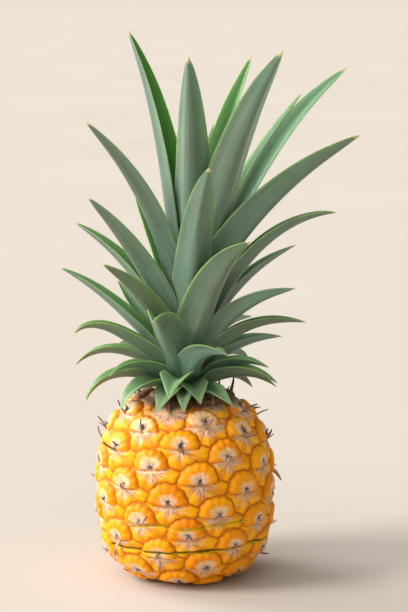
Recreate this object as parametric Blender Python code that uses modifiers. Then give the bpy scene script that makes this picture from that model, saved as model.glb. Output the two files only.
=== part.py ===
"""A small ripe pineapple standing upright, as picked: the fruit, the cut end of the stalk that it grew on,
and the crown, which is a short stem with every leaf as its own piece. Units are metres, +Z is up, and the
origin is the centre of the cut stalk, on the surface that the fruit stands on.
"""

import math
from collections import namedtuple

import bmesh
import bpy
import numpy as np
from mathutils import Vector

MM = 0.001
UP = Vector((0, 0, 1))
GAP = 0.3 * MM  # left between pieces that touch

# Fruit: radius of the bare rind against height, from the underside to the shoulder
FRUIT_PROFILE = [(0.8, 22), (4, 31), (12, 39.5), (22, 43.8), (35, 45.6), (50, 46.2),
                 (65, 45), (75, 42.5), (84, 38), (92, 30.5), (97, 22), (99.5, 14)]
UNDERSIDE_DISH = 3.3 * MM
FRUIT_TOP = 100.0 * MM
FRUIT_SPINS = 72
FRUIT_RINGS = 30
STALK_SPINS = 36
CROWN_STEM_SPINS = 20

# Eyes: the fruitlets follow one spiral, each a fixed turn on from the last
EYE_TURN = math.radians(137.5)
EYE_AREA = 400 * MM * MM
EYE_START_TURN = math.radians(-79.9)
EYE_START_HEIGHT = 61.5 * MM
GROOVE_DEPTH = 1.1 * MM
GROOVE_WIDTH = 3.5 * MM

# Cut stalk under the fruit and crown stem above it
STALK_RADIUS = 10.5 * MM
STALK_CHAMFER = 0.5 * MM
DISH_MARGIN = 2.0 * MM
CROWN_LEAN = math.radians(2.5)
CROWN_FOOT = FRUIT_TOP + GAP
CROWN_STEM_PROFILE = [(0, 9.5), (15, 9), (30, 7.5), (45, 5.5), (57, 3), (60, 1.2)]

# Leaf blade: a channel with a rounded keel, narrow where it leaves the stem
LEAF_THICKNESS = 1.5 * MM
LEAF_STEPS = 10
MIDRIB_STEPS_PER_RING = 8
LEAF_HALF_ACROSS = 2
KEEL_ROUNDING = 0.06
THIN_TIP_HALF_WIDTH = 4.0 * MM
BASE_WIDTH_SHARE = 0.3
BASE_SHARE_OF_LENGTH = 0.32
TIP_WIDTH_SHARE = 0.02
FOLD_AT_BASE = math.radians(8)
FOLD_OPENING = math.radians(42)
FOLD_LOST_TO_TIP = math.radians(14)

# turn: degrees round the stem, 0 towards +X and -90 towards the front. root: height on the crown stem (mm).
# length and width in mm. lift and fall: degrees from upright at the root and at the tip. curl: how late the
# blade bends.
Leaf = namedtuple("Leaf", "turn root length width lift fall curl")

LEAVES = [
    # lowest ring: short blades that hang over the shoulder of the fruit
    Leaf(-112, 1.2, 29, 12, 84, 132, 1.2),
    Leaf(-91, 0.8, 25, 8, 84, 136, 1.2),
    Leaf(-78, 3.0, 29, 12, 78, 124, 1.3),
    Leaf(-55, 1.0, 33, 13, 84, 112, 1.3),
    Leaf(-137, 1.5, 39, 16, 72, 160, 1.8),
    Leaf(-24, 3.0, 44, 15, 60, 124, 1.5),
    Leaf(-164, 3.1, 49, 16, 70, 165, 2.0),
    Leaf(6, 2.0, 40, 15, 70, 135, 1.6),
    Leaf(35, 1.5, 36, 15, 75, 140, 1.4),
    Leaf(66, 2.2, 32, 15, 78, 140, 1.3),
    Leaf(97, 1.5, 31, 14, 78, 140, 1.3),
    Leaf(125, 2.0, 36, 15, 75, 140, 1.4),
    # second ring
    Leaf(-100, 5.2, 38, 17, 70, 118, 1.2),
    Leaf(-20, 6.0, 38, 15, 54, 115, 1.5),
    Leaf(-150, 5.6, 37, 16, 58, 132, 2.0),
    Leaf(-64, 6.5, 44, 20, 38, 98, 1.4),
    Leaf(176, 8.4, 52, 16, 62, 145, 2.2),
    Leaf(50, 6.0, 45, 17, 62, 130, 1.5),
    Leaf(82, 7.0, 45, 17, 60, 130, 1.5),
    Leaf(112, 6.0, 45, 17, 62, 132, 1.5),
    Leaf(145, 7.0, 47, 17, 60, 130, 1.5),
    Leaf(15, 9.0, 46, 15, 52, 92, 1.3),
    # third ring: blades that spread to the sides
    Leaf(-106, 10.0, 52, 20, 17, 106, 1.8),
    Leaf(-168, 11.0, 58, 17, 50, 150, 4.0),
    Leaf(-12, 12.0, 62, 17, 32, 98, 1.0),
    Leaf(-28, 17.0, 67, 17, 28, 78, 1.0),
    Leaf(168, 16.0, 71, 16, 34, 76, 1.5),
    Leaf(-150, 21.0, 62, 18, 28, 54, 1.5),
    Leaf(135, 18.0, 54, 15, 38, 66, 1.2),
    Leaf(40, 14.0, 58, 17, 46, 92, 1.3),
    Leaf(70, 16.0, 60, 18, 42, 86, 1.3),
    Leaf(100, 14.0, 58, 18, 46, 88, 1.3),
    # fourth ring
    Leaf(-54, 22.0, 78, 23, 19, 64, 1.4),
    Leaf(160, 25.0, 82, 17, 27, 62, 1.3),
    Leaf(18, 26.0, 70, 16, 32, 66, 1.5),
    Leaf(-5, 30.0, 98, 17, 26, 90, 2.0),
    Leaf(-160, 32.0, 82, 19, 18, 42, 1.0),
    Leaf(84, 24.0, 80, 20, 28, 60, 1.2),
    Leaf(118, 28.0, 86, 20, 25, 53, 1.2),
    Leaf(-75, 31.0, 102, 22, 12, 38, 1.0),
    # inner leaves: the longest blades, nearly upright
    Leaf(52, 34.0, 88, 20, 26, 52, 1.2),
    Leaf(-15, 38.0, 128, 22, 12, 58, 0.6),
    Leaf(-155, 40.0, 113, 20, 12, 44, 1.2),
    Leaf(98, 42.0, 98, 20, 16, 36, 1.3),
    Leaf(38, 44.0, 158, 23, 20, 62, 1.2),
    Leaf(-50, 46.0, 148, 24, 11, 45, 1.2),
    Leaf(11, 48.0, 121, 13, 17, 37, 1.0),
    Leaf(150, 49.0, 139, 20, 5, 30, 2.0),
    Leaf(-90, 51.0, 127, 23, 8, 18, 1.0),
    Leaf(55, 53.0, 132, 20, 14, 36, 1.0),
    Leaf(-145, 56.0, 66, 9, 3, 10, 1.0),
    Leaf(30, 56.5, 84, 9, 6, 14, 1.0),
]

COLOURS = {
    "rind": ((0.85, 0.42, 0.03), 0.45),
    "stalk": ((0.45, 0.36, 0.20), 0.8),
    "leaf": ((0.16, 0.28, 0.14), 0.5),
}


def clear_scene():
    for obj in list(bpy.data.objects):
        bpy.data.objects.remove(obj)


def collection(name):
    made = bpy.data.collections.new(name)
    bpy.context.scene.collection.children.link(made)
    return made


def material(name):
    colour, roughness = COLOURS[name]
    found = bpy.data.materials.get(name) or bpy.data.materials.new(name)
    found.use_nodes = True
    shader = found.node_tree.nodes["Principled BSDF"]
    shader.inputs["Base Color"].default_value = (*colour, 1.0)
    shader.inputs["Roughness"].default_value = roughness
    shader.inputs["Metallic"].default_value = 0.0
    return found


def add_piece(name, mesh, finish, group):
    obj = bpy.data.objects.new(name, mesh)
    group.objects.link(obj)
    mesh.materials.append(material(finish))
    mesh.shade_smooth()
    return obj


def turned_mesh(name, profile, spins):
    """A solid of revolution from a profile of (radius, height) that starts and ends on the Z axis."""
    mesh = bpy.data.meshes.new(name + "_profile")
    edges = [(i, i + 1) for i in range(len(profile) - 1)]
    mesh.from_pydata([(r, 0, z) for r, z in profile], edges, [])
    outline = bpy.data.objects.new(name + "_outline", mesh)
    bpy.context.scene.collection.objects.link(outline)
    screw = outline.modifiers.new("turn", "SCREW")
    screw.steps = screw.render_steps = spins
    screw.use_merge_vertices = True
    screw.merge_threshold = 0.00005
    bpy.context.view_layer.update()
    evaluated = outline.evaluated_get(bpy.context.evaluated_depsgraph_get())
    turned = bpy.data.meshes.new_from_object(evaluated)
    bpy.data.objects.remove(outline)
    work = bmesh.new()
    work.from_mesh(turned)
    bmesh.ops.remove_doubles(work, verts=work.verts, dist=0.00005)
    bmesh.ops.recalc_face_normals(work, faces=work.faces)
    work.to_mesh(turned)
    work.free()
    turned.name = name
    return turned


def smooth_profile(points, count):
    """Evenly spaced (height, radius) rows along a profile given in mm, rounded by a Catmull-Rom curve."""
    p = np.array([points[0], *points, points[-1]], float) * MM
    fine = []
    for a, b, c, d in zip(p, p[1:], p[2:], p[3:]):
        for t in np.linspace(0, 1, 20, endpoint=False):
            fine.append(0.5 * (2 * b + (c - a) * t + (2 * a - 5 * b + 4 * c - d) * t**2
                               + (3 * b - a - 3 * c + d) * t**3))
    fine = np.array([*fine, p[-1]])
    run = np.concatenate([[0], np.cumsum(np.linalg.norm(np.diff(fine, axis=0), axis=1))])
    even = np.linspace(0, run[-1], count)
    return np.stack([np.interp(even, run, fine[:, 0]), np.interp(even, run, fine[:, 1])], 1), even


def eye_centres(rows, run):
    """(distance along the profile, turn, radius) of each eye, on one rising spiral."""
    circle = 2 * math.pi * rows[:, 1]
    area = EYE_AREA * (0.5 + 0.5 * rows[:, 1] / rows[:, 1].max())
    per_step = 0.5 * ((circle / area)[1:] + (circle / area)[:-1]) * np.diff(run)
    count = np.concatenate([[0], np.cumsum(per_step)])
    count -= np.interp(EYE_START_HEIGHT, rows[:, 0], count)
    number = np.arange(math.ceil(count[0]), math.floor(count[-1]) + 1)
    along = np.interp(number, count, run)
    return along, EYE_START_TURN + number * EYE_TURN, np.interp(along, run, rows[:, 1])


def groove_distance(along, turn, radius, eyes):
    """How far a point of the rind is from the groove between its own eye and the next one."""
    eye_along, eye_turn, eye_radius = eyes
    swing = (turn - eye_turn + math.pi) % (2 * math.pi) - math.pi
    across = swing * 0.5 * (radius + eye_radius)
    away = np.hypot(across, along - eye_along)
    nearest, second = np.argsort(away)[:2]
    apart = math.hypot(across[nearest] - across[second], eye_along[nearest] - eye_along[second])
    return (away[second] ** 2 - away[nearest] ** 2) / (2 * apart)


def make_fruit(group):
    rows, run = smooth_profile(FRUIT_PROFILE, FRUIT_RINGS)
    eyes = eye_centres(rows, run)
    profile = [(0, FRUIT_TOP), *[(r, z) for z, r in rows[::-1]],
               (STALK_RADIUS + DISH_MARGIN, UNDERSIDE_DISH), (0, UNDERSIDE_DISH)]
    mesh = turned_mesh("fruit", profile, FRUIT_SPINS)
    low, high = rows[0][0], rows[-1][0]
    for vertex in mesh.vertices:
        x, y, z = vertex.co
        radius = math.hypot(x, y)
        if radius < rows[-1][1] - MM or not low < z < high:
            continue
        along = float(np.interp(z, rows[:, 0], run))
        depth = groove_distance(along, math.atan2(y, x), radius, eyes)
        swell = GROOVE_DEPTH * (2 * min(1.0, depth / GROOVE_WIDTH) - 1)
        vertex.co.x += swell * x / radius
        vertex.co.y += swell * y / radius
    return add_piece("fruit", mesh, "rind", group)


def make_cut_stalk(group):
    top = UNDERSIDE_DISH - GAP
    profile = [(0, top), (STALK_RADIUS - STALK_CHAMFER, top),
               (STALK_RADIUS, top - STALK_CHAMFER), (STALK_RADIUS, 0), (0, 0)]
    return add_piece("cut_stalk", turned_mesh("cut_stalk", profile, STALK_SPINS), "stalk", group)


def make_crown_stem(group):
    rows = [(r * MM, CROWN_FOOT + z * MM) for z, r in CROWN_STEM_PROFILE]
    profile = [(0, rows[-1][1]), *rows[::-1], (0, rows[0][1])]
    mesh = turned_mesh("crown_stem", profile, CROWN_STEM_SPINS)
    for vertex in mesh.vertices:
        vertex.co.x += math.tan(CROWN_LEAN) * (vertex.co.z - CROWN_FOOT)
    return add_piece("crown_stem", mesh, "leaf", group)


def blade_width(s):
    """Share of the full width at s, which runs from 0 at the root to 1 at the tip."""
    taper = (1 - s) ** 0.7 * (1 + 1.2 * s) / 1.06
    spread = min(1.0, s / BASE_SHARE_OF_LENGTH)
    root = BASE_WIDTH_SHARE + (1 - BASE_WIDTH_SHARE) * spread * spread * (3 - 2 * spread)
    return max(taper * root, TIP_WIDTH_SHARE)


def blade_fold(s):
    """How far each half of the blade folds up from the keel at s, in radians."""
    spread = min(1.0, s / BASE_SHARE_OF_LENGTH)
    return FOLD_AT_BASE + FOLD_OPENING * spread - FOLD_LOST_TO_TIP * s


def blade_midrib(leaf):
    """(s, point, side, inward) at each ring of a leaf, along the curve that its keel follows."""
    turn = math.radians(leaf.turn)
    outward = Vector((math.cos(turn), math.sin(turn), 0))
    stem_heights, stem_radii = zip(*CROWN_STEM_PROFILE)
    clear = float(np.interp(leaf.root, stem_heights, stem_radii)) * MM + GAP + LEAF_THICKNESS
    height = leaf.root * MM
    point = Vector((math.tan(CROWN_LEAN) * height, 0, CROWN_FOOT + height)) + clear * outward
    steps = LEAF_STEPS * MIDRIB_STEPS_PER_RING
    rings = []
    for i in range(steps + 1):
        s = i / steps
        tilt = math.radians(leaf.lift + (leaf.fall - leaf.lift) * s**leaf.curl)
        along = math.sin(tilt) * outward + math.cos(tilt) * UP
        inward = math.sin(tilt) * UP - math.cos(tilt) * outward
        if i % MIDRIB_STEPS_PER_RING == 0:
            rings.append((s, point.copy(), inward.cross(along), inward))
        point = point + along * (leaf.length * MM / steps)
    return rings


def blade_section(half_width, fold, point, side, inward):
    """One closed ring round the blade: the outer face from edge to edge, then the inner face back."""
    body = LEAF_THICKNESS * min(1.0, half_width / THIN_TIP_HALF_WIDTH)
    outer, inner = [], []
    for k in range(-LEAF_HALF_ACROSS, LEAF_HALF_ACROSS + 1):
        u = k / LEAF_HALF_ACROSS
        rise = math.sqrt(u * u + KEEL_ROUNDING) - math.sqrt(KEEL_ROUNDING)
        middle = point + half_width * (side * (u * math.cos(fold)) + inward * (rise * math.sin(fold)))
        outer.append(middle - inward * (body * (1 - u * u)))
        if abs(k) < LEAF_HALF_ACROSS:
            inner.append(middle)
    return outer + inner[::-1]


def make_leaf(number, leaf, group):
    work = bmesh.new()
    rings = []
    for s, point, side, inward in blade_midrib(leaf):
        half_width = 0.5 * leaf.width * MM * blade_width(s)
        ring = blade_section(half_width, blade_fold(s), point, side, inward)
        rings.append([work.verts.new(p) for p in ring])
    for lower, upper in zip(rings, rings[1:]):
        for i in range(len(lower)):
            j = (i + 1) % len(lower)
            work.faces.new((lower[i], lower[j], upper[j], upper[i]))
    work.faces.new(rings[0][::-1])
    work.faces.new(rings[-1])
    bmesh.ops.recalc_face_normals(work, faces=work.faces)
    mesh = bpy.data.meshes.new(f"leaf_{number:02d}")
    work.to_mesh(mesh)
    work.free()
    return add_piece(f"leaf_{number:02d}", mesh, "leaf", group)


def main():
    clear_scene()
    group = collection("pineapple")
    make_fruit(group)
    make_cut_stalk(group)
    make_crown_stem(group)
    for number, leaf in enumerate(LEAVES, start=1):
        make_leaf(number, leaf, group)


main()
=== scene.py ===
# %% [markdown]
# # A small ripe pineapple
# The fruit is a barrel of some eighty fruitlets, called eyes, grown together along one spiral.
# A crown of stiff leaves stands on top of it. The packed model already holds every piece at its
# true size and place, so this script only gives them their real surfaces: a carved rind, papery
# bract tips, and thin keeled blades.

# %% Load the packed model, with a way to read the box of one piece
import math

import bpy
import numpy as np
from mathutils import Matrix, Quaternion, Vector


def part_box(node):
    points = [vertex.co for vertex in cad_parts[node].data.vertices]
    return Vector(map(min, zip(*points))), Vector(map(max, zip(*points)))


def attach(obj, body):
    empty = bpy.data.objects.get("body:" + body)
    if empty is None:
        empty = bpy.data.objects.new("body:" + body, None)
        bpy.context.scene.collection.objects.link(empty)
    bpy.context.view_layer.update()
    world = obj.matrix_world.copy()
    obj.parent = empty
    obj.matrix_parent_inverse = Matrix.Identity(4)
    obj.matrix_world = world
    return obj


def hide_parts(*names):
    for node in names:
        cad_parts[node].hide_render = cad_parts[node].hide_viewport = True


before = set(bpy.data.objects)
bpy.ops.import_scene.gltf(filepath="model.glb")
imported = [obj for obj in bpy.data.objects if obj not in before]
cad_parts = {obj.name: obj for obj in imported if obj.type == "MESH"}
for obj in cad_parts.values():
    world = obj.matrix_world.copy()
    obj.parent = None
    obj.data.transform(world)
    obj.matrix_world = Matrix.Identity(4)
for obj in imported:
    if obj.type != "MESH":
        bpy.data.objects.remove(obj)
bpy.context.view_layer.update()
MM = 0.001
print("pieces in the frame:", len(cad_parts))

# %% [markdown]
# ## Camera
# The eye is a little above the crown and looks slightly down, through a long lens, as one does
# to take a portrait of a fruit on a table.

# %% Camera
EYE_POINT = Vector((10, -1008, 309)) * MM
LOOK_DOWN = math.radians(9.3)
LENS_MM = 114.7


def deselect():
    """An operator acts on all that is selected, so each step starts with nothing selected."""
    if bpy.context.object and bpy.context.object.mode != "OBJECT":
        bpy.ops.object.mode_set(mode="OBJECT")
    bpy.ops.object.select_all(action="DESELECT")


deselect()
bpy.ops.object.camera_add(location=EYE_POINT, rotation=(math.pi / 2 - LOOK_DOWN, 0, 0))
camera = bpy.context.object
camera.name = "camera"
camera.data.lens = LENS_MM
bpy.context.scene.camera = camera
bpy.context.scene.view_settings.view_transform = "Standard"
print("camera looks down by", round(math.degrees(LOOK_DOWN), 1), "degrees")

# %% [markdown]
# ## A short way to write materials
# A material is a tree of nodes, and written out in full it is mostly wiring. The two classes
# below turn each kind of node into one short call that takes numbers or the outputs of other
# nodes, so a finish reads from top to bottom like a recipe.


# %% Colours and node trees
def paint(red, green, blue):
    """A colour given in everyday 0 to 255 values, as the linear numbers that a shader wants."""
    share = [c / 255 for c in (red, green, blue)]
    return (*[c / 12.92 if c <= 0.04045 else ((c + 0.055) / 1.055) ** 2.4 for c in share], 1.0)


class Nodes:
    """A node tree under construction: each method adds one node and returns its output."""

    def __init__(self, tree):
        self.tree = tree

    def node(self, kind, inputs=(), **settings):
        made = self.tree.nodes.new(kind)
        for name, value in settings.items():
            setattr(made, name, value)
        for socket, value in dict(inputs).items():
            if isinstance(value, bpy.types.NodeSocket):
                self.tree.links.new(value, made.inputs[socket])
            else:
                made.inputs[socket].default_value = value
        return made

    def math(self, operation, first, second=0.0, third=0.0):
        numbers = {0: first, 1: second, 2: third}
        return self.node("ShaderNodeMath", numbers, operation=operation).outputs[0]

    def plus(self, first, second):
        return self.math("ADD", first, second)

    def times(self, first, second):
        return self.math("MULTIPLY", first, second)

    def line(self, value, slope, start):
        """value times slope, plus start."""
        return self.math("MULTIPLY_ADD", value, slope, start)

    def between(self, value, low, high, start=0.0, end=1.0):
        """A smooth step of value, from start at low to end at high."""
        numbers = {0: value, 1: low, 2: high, 3: start, 4: end}
        return self.node("ShaderNodeMapRange", numbers, interpolation_type="SMOOTHSTEP").outputs[0]

    def mix(self, share, first, second):
        """The first colour where share is 0, the second where it is 1."""
        colours = {0: share, 6: first, 7: second}  # a Mix node keeps its colours in sockets 6 and 7
        return self.node("ShaderNodeMix", colours, data_type="RGBA").outputs[2]

    def joined(self, x, y, z):
        """One vector made of three numbers."""
        return self.node("ShaderNodeCombineXYZ", {0: x, 1: y, 2: z}).outputs[0]

    def parts(self, vector):
        """The three numbers of a vector."""
        return self.node("ShaderNodeSeparateXYZ", {0: vector}).outputs


print("dull white as a shader wants it:", [round(c, 2) for c in paint(200, 200, 200)])


# %% A material for one piece
class Finish(Nodes):
    """A material for one piece, with the nodes that read the piece's surface."""

    def __init__(self, name, **settings):
        self.material = bpy.data.materials.new(name)
        self.material.use_nodes = True
        super().__init__(self.material.node_tree)
        self.shader = self.tree.nodes["Principled BSDF"]
        for socket, value in settings.items():
            self.shader.inputs[socket.replace("_", " ")].default_value = value

    def attribute(self, name):
        return self.node("ShaderNodeAttribute", attribute_name=name).outputs["Fac"]

    def place(self, stretch=(1, 1, 1)):
        """The piece's own coordinates, stretched before a pattern reads them."""
        start = self.node("ShaderNodeTexCoord").outputs["Object"]
        return self.node("ShaderNodeMapping", {0: start, 3: stretch}).outputs[0]

    def place_on(self, uv_map):
        """The place on a UV map, as its two numbers."""
        on_map = self.node("ShaderNodeUVMap", uv_map=uv_map).outputs[0]
        return self.parts(on_map)[:2]

    def noise(self, where, scale, detail=2.0, roughness=0.5):
        sockets = {"Vector": where, "Scale": scale, "Detail": detail, "Roughness": roughness}
        return self.node("ShaderNodeTexNoise", sockets).outputs[0]

    def set(self, socket, value):
        self.tree.links.new(value, self.shader.inputs[socket])

    def bump(self, height, strength, distance):
        sockets = {"Height": height, "Strength": strength, "Distance": distance}
        self.set("Normal", self.node("ShaderNodeBump", sockets).outputs[0])


print("calls of a finish:", ", ".join(name for name in vars(Finish) if name[0] != "_"))

# %% [markdown]
# ## Floor and light
# The fruit stands on a plain pale floor. The light is that of a bright window on the left: a
# soft key lamp high on that side, a second one behind it that lights the rims of the leaves, a
# faint warm fill on the right, and a tent of pale cloth all round that is brightest at the upper
# left. It draws every bump of the rind and leaves no hard shadow.

# %% Floor
FLOOR_REACH = 30.0
FLOOR_DROP = 0.2 * MM  # just under the fruit, so that the two never share a plane

deselect()
bpy.ops.mesh.primitive_plane_add(size=2 * FLOOR_REACH, location=(0, 0, -FLOOR_DROP))
floor = bpy.context.object
floor.name = "floor"
floor_finish = Finish("pale_floor", Roughness=1.0, Specular_IOR_Level=0.0)
grain = floor_finish.noise(floor_finish.place(), 3.0)
floor_colour = floor_finish.mix(grain, paint(190, 178, 168), paint(198, 187, 177))
floor_finish.set("Base Color", floor_colour)
floor.data.materials.append(floor_finish.material)
print("floor is", 2 * FLOOR_REACH, "m wide")

# %% Lamps
LAMPS = {
    # name: (direction it comes from, softness in degrees, strength, colour)
    "key": ((-1.0, -0.32, 0.62), 24, 2.9, (1.0, 0.985, 0.96)),
    "back": ((-1.0, 0.6, 0.6), 30, 2.1, (0.95, 1.0, 1.0)),
    "fill": ((1.0, -0.7, 0.2), 60, 0.25, (1.0, 0.94, 0.84)),
}


def add_lamp(name, source, softness, strength, colour):
    deselect()
    bpy.ops.object.light_add(type="SUN", location=Vector(source))
    lamp = bpy.context.object
    lamp.name = name
    lamp.data.angle = math.radians(softness)
    lamp.data.energy = strength
    lamp.data.color = colour
    lamp.rotation_euler = Vector(source).to_track_quat("Z", "Y").to_euler()


for lamp_name, lamp_settings in LAMPS.items():
    add_lamp(lamp_name, *lamp_settings)
print("lamps:", ", ".join(LAMPS))

# %% The tent of pale cloth
SKY = paint(238, 225, 212)
TENT_BRIGHT_SIDE = Vector((-0.85, -0.25, 0.5)).normalized()
TENT_TURN = (-0.05, 0.95)  # from square to the bright side, to straight at it
TENT_DIM, TENT_BRIGHT = 0.3, 1.55
TENT_DIM_COLOUR = (0.94, 1.0, 0.9, 1.0)
TENT_BRIGHT_COLOUR = (0.97, 0.99, 1.0, 1.0)


def add_tent():
    """Lights the fruit from all round, while the camera sees one even colour behind it."""
    world = bpy.data.worlds.new("studio")
    world.use_nodes = True
    made = Nodes(world.node_tree)
    direction = made.node("ShaderNodeTexCoord").outputs["Generated"]
    toward = made.node("ShaderNodeVectorMath", {0: direction, 1: TENT_BRIGHT_SIDE},
                       operation="DOT_PRODUCT").outputs["Value"]
    level = made.between(toward, *TENT_TURN)
    glow = made.tree.nodes["Background"]
    colour = made.mix(level, TENT_DIM_COLOUR, TENT_BRIGHT_COLOUR)
    strength = made.line(level, TENT_BRIGHT - TENT_DIM, TENT_DIM)
    made.tree.links.new(colour, glow.inputs["Color"])
    made.tree.links.new(strength, glow.inputs["Strength"])
    seen = made.node("ShaderNodeBackground", {"Color": SKY})
    by_camera = made.node("ShaderNodeLightPath").outputs["Is Camera Ray"]
    shaders = {0: by_camera, 1: glow.outputs[0], 2: seen.outputs[0]}
    choose = made.node("ShaderNodeMixShader", shaders)
    made.tree.links.new(choose.outputs[0], made.tree.nodes["World Output"].inputs[0])
    bpy.context.scene.world = world


add_tent()
print("the tent is", round(TENT_BRIGHT / TENT_DIM, 1), "times brighter on its bright side")

# %% [markdown]
# ## Where the eyes sit
# A pineapple grows its eyes one after another, each turned on from the last by the golden angle,
# 137.5 degrees, and a little higher. That one rule makes the rows of 5, 8 and 13 that wind round
# the fruit. The outline of the bare rind is read from the packed fruit, ring by ring, and the
# eyes are spaced along it so that each gets its share of skin, with smaller ones near the two
# ends.

# %% The outline of the fruit
UNDERSIDE_RADIUS = 20 * MM
FULL_RING = 30  # a ring of bare rind has more points than this


def unique_points(node):
    """The distinct vertices of a packed piece, in metres."""
    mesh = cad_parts[node].data
    flat = np.zeros(3 * len(mesh.vertices))
    mesh.vertices.foreach_get("co", flat)
    return np.unique(np.round(flat.reshape(-1, 3), 6), axis=0)


def read_outline():
    """(height, radius) of each ring of the bare rind, from its lowest ring to its highest."""
    points = unique_points("fruit")
    radii = np.hypot(points[:, 0], points[:, 1])
    middle = points[:, 2].mean()
    rows = []
    for height in np.unique(points[:, 2]):
        ring = radii[points[:, 2] == height]
        if len(ring) > FULL_RING and (height > middle or ring.mean() > UNDERSIDE_RADIUS):
            rows.append((height, ring.mean()))
    return np.array(rows)


def run_along(rows):
    """The distance along the outline at each of its rows."""
    return np.concatenate([[0], np.cumsum(np.linalg.norm(np.diff(rows, axis=0), axis=1))])


outline = read_outline()
outline_run = run_along(outline)
print("rings read:", len(outline), "outline:", round(outline_run[-1] / MM, 1), "mm long")

# %% The spiral of eyes
EYE_TURN = math.radians(137.5)
EYE_AREA = 400 * MM * MM
SMALLEST_SHARE = 0.5  # of the full area, which an eye at an end of the fruit would have
EYE_START_TURN = math.radians(-79.9)
EYE_START_HEIGHT = 61.5 * MM
EYE_SIZE_SPREAD = 0.06
EYE_TILT_SPREAD = math.radians(5)
luck = np.random.default_rng(7)


def eye_spiral(rows, run):
    """Where each eye sits along the outline and round the fruit, and its size beside a full one."""
    circle = 2 * math.pi * rows[:, 1]
    share = SMALLEST_SHARE + (1 - SMALLEST_SHARE) * rows[:, 1] / rows[:, 1].max()
    density = circle / (EYE_AREA * share)
    count = np.concatenate([[0], np.cumsum(0.5 * (density[1:] + density[:-1]) * np.diff(run))])
    count -= np.interp(EYE_START_HEIGHT, rows[:, 0], count)
    number = np.arange(math.ceil(count[0]), math.floor(count[-1]) + 1)
    along = np.interp(number, count, run)
    return {
        "along": along,
        "height": np.interp(along, run, rows[:, 0]),
        "turn": EYE_START_TURN + number * EYE_TURN,
        "radius": np.interp(along, run, rows[:, 1]),
        "size": np.sqrt(np.interp(along, run, share)),
    }


eyes = eye_spiral(outline, outline_run)
EYE_COUNT = len(eyes["along"])
eyes["size"] = eyes["size"] * (1 + EYE_SIZE_SPREAD * luck.uniform(-1, 1, EYE_COUNT))
eyes["tilt"] = EYE_TILT_SPREAD * luck.uniform(-1, 1, EYE_COUNT)
eyes["whim"] = luck.uniform(0, 1, EYE_COUNT)
print("eyes on the fruit:", EYE_COUNT)

# %% [markdown]
# ## The rind
# Each eye has two parts. Its upper half is a swollen dome with a scalloped rim, and below a sharp
# crease lies its bract, a leathery flap that spreads sideways between the domes of the next row.
# A single displacement map could not give the crease, so the rind starts as a dense sphere, is
# pulled to the outline of the fruit, and every point is then raised or sunk by what it belongs
# to: which dome, which bract, and how near the edge.

# %% A dense sphere
RIND_COLUMNS = 108
RIND_ROWS = 53
RIND_SPLITS = 2  # each split halves the spacing of the points


def add_rind():
    deselect()
    bpy.ops.mesh.primitive_uv_sphere_add(segments=RIND_COLUMNS, ring_count=RIND_ROWS, radius=1)
    piece = bpy.context.object
    piece.name = "rind"
    split = piece.modifiers.new("split", "SUBSURF")
    split.subdivision_type = "SIMPLE"
    split.levels = split.render_levels = RIND_SPLITS
    bpy.ops.object.modifier_apply(modifier=split.name)
    return piece


def vertex_places(piece):
    """The places of all the vertices of a piece, one row each."""
    flat = np.zeros(3 * len(piece.data.vertices))
    piece.data.vertices.foreach_get("co", flat)
    return flat.reshape(-1, 3)


rind = add_rind()
sphere = vertex_places(rind)
sphere = sphere / np.linalg.norm(sphere, axis=1)[:, None]
print("rind vertices:", len(sphere))

# %% The sphere's points on the outline
FOOT_ABOVE_STALK = 0.3 * MM
FOOT_RADIUS = 12.5 * MM
FINE_STEPS = 900
SOFTEN_REACH = 20  # fine steps on each side


def whole_profile():
    """(height, radius) from the middle of the underside to the middle of the top."""
    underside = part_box("cut_stalk")[1].z + FOOT_ABOVE_STALK
    foot = [(underside, 0), (underside, FOOT_RADIUS)]
    return np.array([*foot, *outline, (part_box("fruit")[1].z, 0)])


def softened(values):
    """A row of values with its corners rounded, its two ends kept."""
    before = 2 * values[0] - values[SOFTEN_REACH:0:-1]
    after = 2 * values[-1] - values[-2:-2 - SOFTEN_REACH:-1]
    weights = np.hanning(2 * SOFTEN_REACH + 1)
    weights /= weights.sum()
    return np.convolve(np.concatenate([before, values, after]), weights, mode="valid")


profile = whole_profile()
profile_run = run_along(profile)
fine_run = np.linspace(0, profile_run[-1], FINE_STEPS)
fine_height = softened(np.interp(fine_run, profile_run, profile[:, 0]))
fine_radius = np.maximum(softened(np.interp(fine_run, profile_run, profile[:, 1])), 0)
from_foot = 1 - np.arccos(np.clip(sphere[:, 2], -1, 1)) / math.pi
rind_run = from_foot * profile_run[-1]
rind_place = {
    "run": rind_run,
    "turn": np.arctan2(sphere[:, 1], sphere[:, 0]),
    "height": np.interp(rind_run, fine_run, fine_height),
    "radius": np.interp(rind_run, fine_run, fine_radius),
}
print("from the foot to the top of the rind:", round(profile_run[-1] / MM), "mm")

# %% Each point's place in the eyes around it
NEAR_EYES = 8
FOOT_RUN = profile_run[2]  # where the outline proper starts
CLOSE_TO_DOT = 3  # mm


def place_in_eyes(place):
    """The nearest eyes of every point: their numbers, and how far across and up it lies, in mm."""
    swing = place["turn"][:, None] - eyes["turn"]
    swing = (swing + math.pi) % (2 * math.pi) - math.pi
    across = swing * 0.5 * (place["radius"][:, None] + eyes["radius"])
    up = place["run"][:, None] - FOOT_RUN - eyes["along"]
    near = np.argpartition(np.hypot(across, up), NEAR_EYES, axis=1)[:, :NEAR_EYES]
    across = np.take_along_axis(across, near, 1)
    up = np.take_along_axis(up, near, 1)
    tilt = eyes["tilt"][near]
    size = eyes["size"][near] * MM
    x = (across * np.cos(tilt) + up * np.sin(tilt)) / size
    y = (up * np.cos(tilt) - across * np.sin(tilt)) / size
    return near, x, y


near_eyes, eye_x, eye_y = place_in_eyes(rind_place)
close_points = int((np.hypot(eye_x, eye_y).min(1) < CLOSE_TO_DOT).sum())
print("points within", CLOSE_TO_DOT, "mm of a dot:", close_points)

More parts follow.
